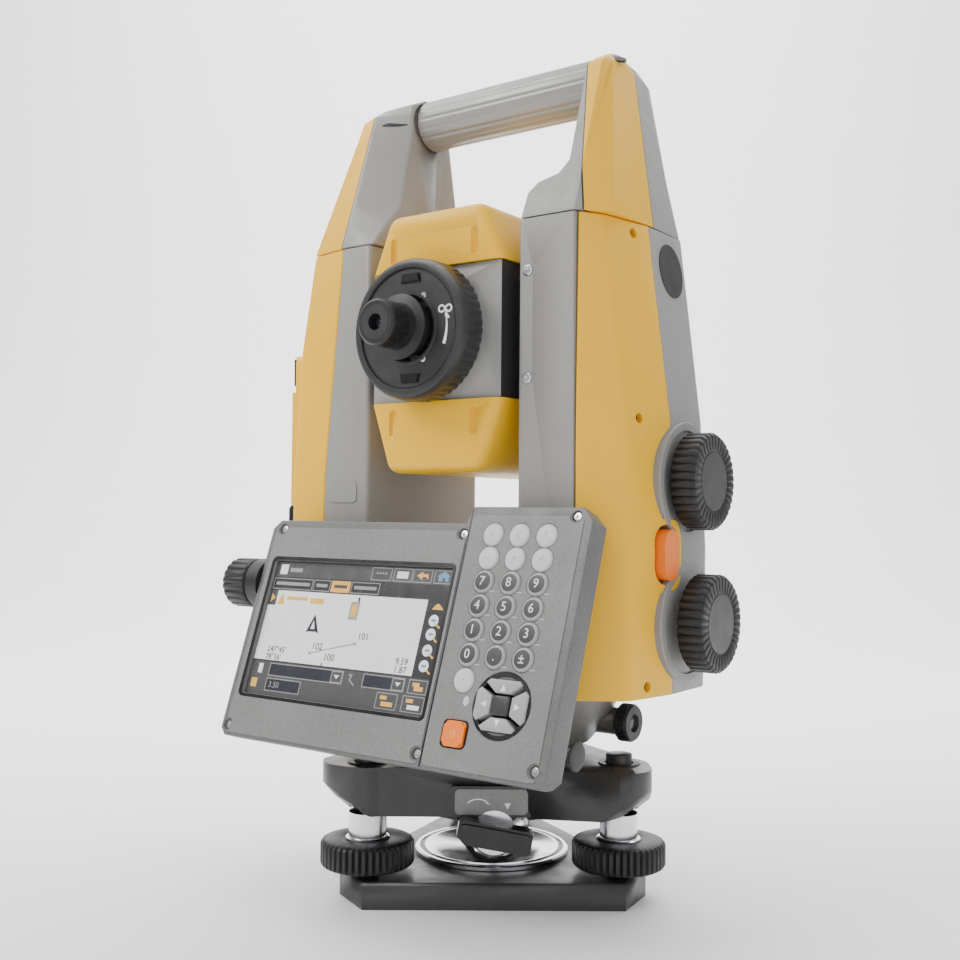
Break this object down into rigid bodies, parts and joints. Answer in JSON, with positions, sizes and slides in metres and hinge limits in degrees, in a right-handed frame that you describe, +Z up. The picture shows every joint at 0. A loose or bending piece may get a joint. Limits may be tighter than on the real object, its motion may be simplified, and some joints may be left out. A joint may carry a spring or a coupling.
{
  "type": "surveying total station",
  "caption": "Surveying total station: tilting telescope between two columns with a carrying handle, display and keypad unit in front, on a tribrach with foot screws and a base plate.",
  "frame": {"origin": "on the vertical axis, at the underside of the base plate", "axes": "+Z up along the vertical axis, +X along the tilting axis towards the fine-motion knobs, -Y towards the operator"},
  "size_m": [0.2111, 0.156, 0.355],
  "materials": {
    "yellow_plastic": "satin, fine moulded texture",
    "grey_paint": "satin paint",
    "grey_plastic": "satin",
    "dark_grey": "satin paint, fine texture",
    "dark_plastic": "satin, fine texture",
    "black_paint": "satin paint",
    "black_plastic": "satin",
    "black_rubber": "matt, ribbed",
    "orange_plastic": "satin",
    "steel": "turned and polished",
    "glass": "polished",
    "screen_glass": "smooth, dark, lit picture behind",
    "key_grey": "satin",
    "key_white": "satin"
  },
  "bodies": {
    "base": {"base_plate": "black_paint", "spring_plate": "steel"},
    "foot_screw_1": {"foot_screw_1": "black_rubber"},
    "foot_screw_2": {"foot_screw_2": "black_rubber"},
    "foot_screw_3": {"foot_screw_3": "black_rubber"},
    "tribrach": {"tribrach_body": "dark_grey", "circular_level": "glass", "spindle": "steel"},
    "clamp": {"clamp_knob": "black_plastic"},
    "alidade": {"alidade_base": "dark_grey", "right_standard": "grey_paint", "left_standard": "grey_paint", "right_side_cover": "yellow_plastic", "right_side_panel": "grey_plastic", "left_side_cover": "yellow_plastic", "battery_pack": "black_plastic", "handle_right_post": "yellow_plastic", "handle_left_post": "yellow_plastic", "handle_bar": "grey_paint", "display_housing": "dark_plastic", "touch_screen": "screen_glass"},
    "battery_door": {"battery_door": "yellow_plastic"},
    "battery_latch": {"battery_latch": "black_plastic"},
    "vertical_knob": {"vertical_knob": "black_rubber"},
    "horizontal_knob": {"horizontal_knob": "black_rubber"},
    "trigger": {"trigger_key": "orange_plastic"},
    "plummet_eyepiece": {"plummet_eyepiece": "black_rubber"},
    "display_clamp": {"display_clamp_knob": "black_rubber"},
    "telescope": {"telescope_body": "black_paint", "telescope_top_cover": "yellow_plastic", "telescope_bottom_cover": "yellow_plastic", "objective_lens": "glass", "vertical_circle": "glass"},
    "focusing": {"focusing_ring": "black_rubber"},
    "eyepiece": {"eyepiece_ring": "black_rubber"},
    "key_1_1": {"key_1_1": "key_white"},
    "key_1_2": {"key_1_2": "key_white"},
    "key_1_3": {"key_1_3": "key_white"},
    "key_2_1": {"key_2_1": "key_white"},
    "key_2_2": {"key_2_2": "key_white"},
    "key_2_3": {"key_2_3": "key_white"},
    "key_3_1": {"key_3_1": "key_grey"},
    "key_3_2": {"key_3_2": "key_grey"},
    "key_3_3": {"key_3_3": "key_grey"},
    "key_4_1": {"key_4_1": "key_grey"},
    "key_4_2": {"key_4_2": "key_grey"},
    "key_4_3": {"key_4_3": "key_grey"},
    "key_5_1": {"key_5_1": "key_grey"},
    "key_5_2": {"key_5_2": "key_grey"},
    "key_5_3": {"key_5_3": "key_grey"},
    "key_6_1": {"key_6_1": "key_grey"},
    "key_6_2": {"key_6_2": "key_grey"},
    "key_6_3": {"key_6_3": "key_grey"},
    "alpha_key": {"alpha_key": "key_white"},
    "power_key": {"power_key": "orange_plastic"},
    "arrow_key_right": {"arrow_key_right": "key_grey"},
    "arrow_key_up": {"arrow_key_up": "key_grey"},
    "arrow_key_left": {"arrow_key_left": "key_grey"},
    "arrow_key_down": {"arrow_key_down": "key_grey"},
    "centre_key": {"centre_key": "key_grey"}
  },
  "joints": [
    {"name": "foot_screw_1_turn", "type": "hinge", "parent": "base", "child": "foot_screw_1", "pos_m": [-0.02417, -0.05612, 0], "axis": [0, 0, 1], "range_deg": [-1445, 1445]},
    {"name": "foot_screw_2_turn", "type": "hinge", "parent": "base", "child": "foot_screw_2", "pos_m": [0.06068, 0.00713, 0], "axis": [0, 0, 1], "range_deg": [-1445, 1445]},
    {"name": "foot_screw_3_turn", "type": "hinge", "parent": "base", "child": "foot_screw_3", "pos_m": [-0.03651, 0.04899, 0], "axis": [0, 0, 1], "range_deg": [-1445, 1445]},
    {"name": "levelling_lift", "type": "slide", "parent": "base", "child": "tribrach", "axis": [0, 0, 1], "range_m": [-0.003, 0.003]},
    {"name": "clamp_turn", "type": "hinge", "parent": "tribrach", "child": "clamp", "pos_m": [0.0239, -0.03207, 0.03], "axis": [0.5976, -0.8018, 0], "range_deg": [0, 120]},
    {"name": "alidade_turn", "type": "hinge", "parent": "tribrach", "child": "alidade", "pos_m": [0, 0, 0.07], "axis": [0, 0, 1], "continuous": true},
    {"name": "telescope_tilt", "type": "hinge", "parent": "alidade", "child": "telescope", "pos_m": [0, 0, 0.236], "axis": [1, 0, 0], "continuous": true},
    {"name": "focusing_turn", "type": "hinge", "parent": "telescope", "child": "focusing", "pos_m": [0, -0.055, 0.236], "axis": [0, -1, 0], "range_deg": [-200, 200]},
    {"name": "eyepiece_turn", "type": "hinge", "parent": "telescope", "child": "eyepiece", "pos_m": [0, -0.075, 0.236], "axis": [0, -1, 0], "range_deg": [-150, 150]},
    {"name": "vertical_knob_turn", "type": "hinge", "parent": "alidade", "child": "vertical_knob", "pos_m": [0.1, 0.011, 0.1744], "axis": [1, 0, 0], "continuous": true},
    {"name": "horizontal_knob_turn", "type": "hinge", "parent": "alidade", "child": "horizontal_knob", "pos_m": [0.1, 0.011, 0.1166], "axis": [1, 0, 0], "continuous": true},
    {"name": "trigger_press", "type": "slide", "parent": "alidade", "child": "trigger", "axis": [-1, 0, 0], "range_m": [0, 0.0015], "stiffness_N_per_m": 400, "springref_m": -0.002},
    {"name": "plummet_eyepiece_turn", "type": "hinge", "parent": "alidade", "child": "plummet_eyepiece", "pos_m": [0.06, 0.02, 0.0705], "axis": [1, 0, 0], "range_deg": [-150, 150]},
    {"name": "display_clamp_turn", "type": "hinge", "parent": "alidade", "child": "display_clamp", "pos_m": [-0.095, -0.056, 0.127], "axis": [-1, 0, 0], "range_deg": [-180, 180]},
    {"name": "battery_door_swing", "type": "hinge", "parent": "alidade", "child": "battery_door", "pos_m": [-0.098, 0, 0.158], "axis": [0, -1, 0], "range_deg": [0, 95]},
    {"name": "battery_latch_slide", "type": "slide", "parent": "battery_door", "child": "battery_latch", "axis": [0, 0, -1], "range_m": [0, 0.003], "stiffness_N_per_m": 300, "springref_m": -0.003},
    {"name": "key_1_1_press", "type": "slide", "parent": "alidade", "child": "key_1_1", "axis": [0, 0.9452, -0.3264], "range_m": [0, 0.0008], "stiffness_N_per_m": 250, "springref_m": -0.002},
    {"name": "key_1_2_press", "type": "slide", "parent": "alidade", "child": "key_1_2", "axis": [0, 0.9452, -0.3264], "range_m": [0, 0.0008], "stiffness_N_per_m": 250, "springref_m": -0.002},
    {"name": "key_1_3_press", "type": "slide", "parent": "alidade", "child": "key_1_3", "axis": [0, 0.9452, -0.3264], "range_m": [0, 0.0008], "stiffness_N_per_m": 250, "springref_m": -0.002},
    {"name": "key_2_1_press", "type": "slide", "parent": "alidade", "child": "key_2_1", "axis": [0, 0.9452, -0.3264], "range_m": [0, 0.0008], "stiffness_N_per_m": 250, "springref_m": -0.002},
    {"name": "key_2_2_press", "type": "slide", "parent": "alidade", "child": "key_2_2", "axis": [0, 0.9452, -0.3264], "range_m": [0, 0.0008], "stiffness_N_per_m": 250, "springref_m": -0.002},
    {"name": "key_2_3_press", "type": "slide", "parent": "alidade", "child": "key_2_3", "axis": [0, 0.9452, -0.3264], "range_m": [0, 0.0008], "stiffness_N_per_m": 250, "springref_m": -0.002},
    {"name": "key_3_1_press", "type": "slide", "parent": "alidade", "child": "key_3_1", "axis": [0, 0.9452, -0.3264], "range_m": [0, 0.0008], "stiffness_N_per_m": 250, "springref_m": -0.002},
    {"name": "key_3_2_press", "type": "slide", "parent": "alidade", "child": "key_3_2", "axis": [0, 0.9452, -0.3264], "range_m": [0, 0.0008], "stiffness_N_per_m": 250, "springref_m": -0.002},
    {"name": "key_3_3_press", "type": "slide", "parent": "alidade", "child": "key_3_3", "axis": [0, 0.9452, -0.3264], "range_m": [0, 0.0008], "stiffness_N_per_m": 250, "springref_m": -0.002},
    {"name": "key_4_1_press", "type": "slide", "parent": "alidade", "child": "key_4_1", "axis": [0, 0.9452, -0.3264], "range_m": [0, 0.0008], "stiffness_N_per_m": 250, "springref_m": -0.002},
    {"name": "key_4_2_press", "type": "slide", "parent": "alidade", "child": "key_4_2", "axis": [0, 0.9452, -0.3264], "range_m": [0, 0.0008], "stiffness_N_per_m": 250, "springref_m": -0.002},
    {"name": "key_4_3_press", "type": "slide", "parent": "alidade", "child": "key_4_3", "axis": [0, 0.9452, -0.3264], "range_m": [0, 0.0008], "stiffness_N_per_m": 250, "springref_m": -0.002},
    {"name": "key_5_1_press", "type": "slide", "parent": "alidade", "child": "key_5_1", "axis": [0, 0.9452, -0.3264], "range_m": [0, 0.0008], "stiffness_N_per_m": 250, "springref_m": -0.002},
    {"name": "key_5_2_press", "type": "slide", "parent": "alidade", "child": "key_5_2", "axis": [0, 0.9452, -0.3264], "range_m": [0, 0.0008], "stiffness_N_per_m": 250, "springref_m": -0.002},
    {"name": "key_5_3_press", "type": "slide", "parent": "alidade", "child": "key_5_3", "axis": [0, 0.9452, -0.3264], "range_m": [0, 0.0008], "stiffness_N_per_m": 250, "springref_m": -0.002},
    {"name": "key_6_1_press", "type": "slide", "parent": "alidade", "child": "key_6_1", "axis": [0, 0.9452, -0.3264], "range_m": [0, 0.0008], "stiffness_N_per_m": 250, "springref_m": -0.002},
    {"name": "key_6_2_press", "type": "slide", "parent": "alidade", "child": "key_6_2", "axis": [0, 0.9452, -0.3264], "range_m": [0, 0.0008], "stiffness_N_per_m": 250, "springref_m": -0.002},
    {"name": "key_6_3_press", "type": "slide", "parent": "alidade", "child": "key_6_3", "axis": [0, 0.9452, -0.3264], "range_m": [0, 0.0008], "stiffness_N_per_m": 250, "springref_m": -0.002},
    {"name": "alpha_key_press", "type": "slide", "parent": "alidade", "child": "alpha_key", "axis": [0, 0.9452, -0.3264], "range_m": [0, 0.0008], "stiffness_N_per_m": 250, "springref_m": -0.002},
    {"name": "power_key_press", "type": "slide", "parent": "alidade", "child": "power_key", "axis": [0, 0.9452, -0.3264], "range_m": [0, 0.0008], "stiffness_N_per_m": 250, "springref_m": -0.002},
    {"name": "arrow_key_right_press", "type": "slide", "parent": "alidade", "child": "arrow_key_right", "axis": [0, 0.9452, -0.3264], "range_m": [0, 0.0008], "stiffness_N_per_m": 250, "springref_m": -0.002},
    {"name": "arrow_key_up_press", "type": "slide", "parent": "alidade", "child": "arrow_key_up", "axis": [0, 0.9452, -0.3264], "range_m": [0, 0.0008], "stiffness_N_per_m": 250, "springref_m": -0.002},
    {"name": "arrow_key_left_press", "type": "slide", "parent": "alidade", "child": "arrow_key_left", "axis": [0, 0.9452, -0.3264], "range_m": [0, 0.0008], "stiffness_N_per_m": 250, "springref_m": -0.002},
    {"name": "arrow_key_down_press", "type": "slide", "parent": "alidade", "child": "arrow_key_down", "axis": [0, 0.9452, -0.3264], "range_m": [0, 0.0008], "stiffness_N_per_m": 250, "springref_m": -0.002},
    {"name": "centre_key_press", "type": "slide", "parent": "alidade", "child": "centre_key", "axis": [0, 0.9452, -0.3264], "range_m": [0, 0.0008], "stiffness_N_per_m": 250, "springref_m": -0.002}
  ],
  "couplings": [
    {"joint": "foot_screw_1_turn", "follows": "levelling_lift", "rad_per_m": 8377.6},
    {"joint": "foot_screw_2_turn", "follows": "levelling_lift", "rad_per_m": 8377.6},
    {"joint": "foot_screw_3_turn", "follows": "levelling_lift", "rad_per_m": 8377.6}
  ]
}
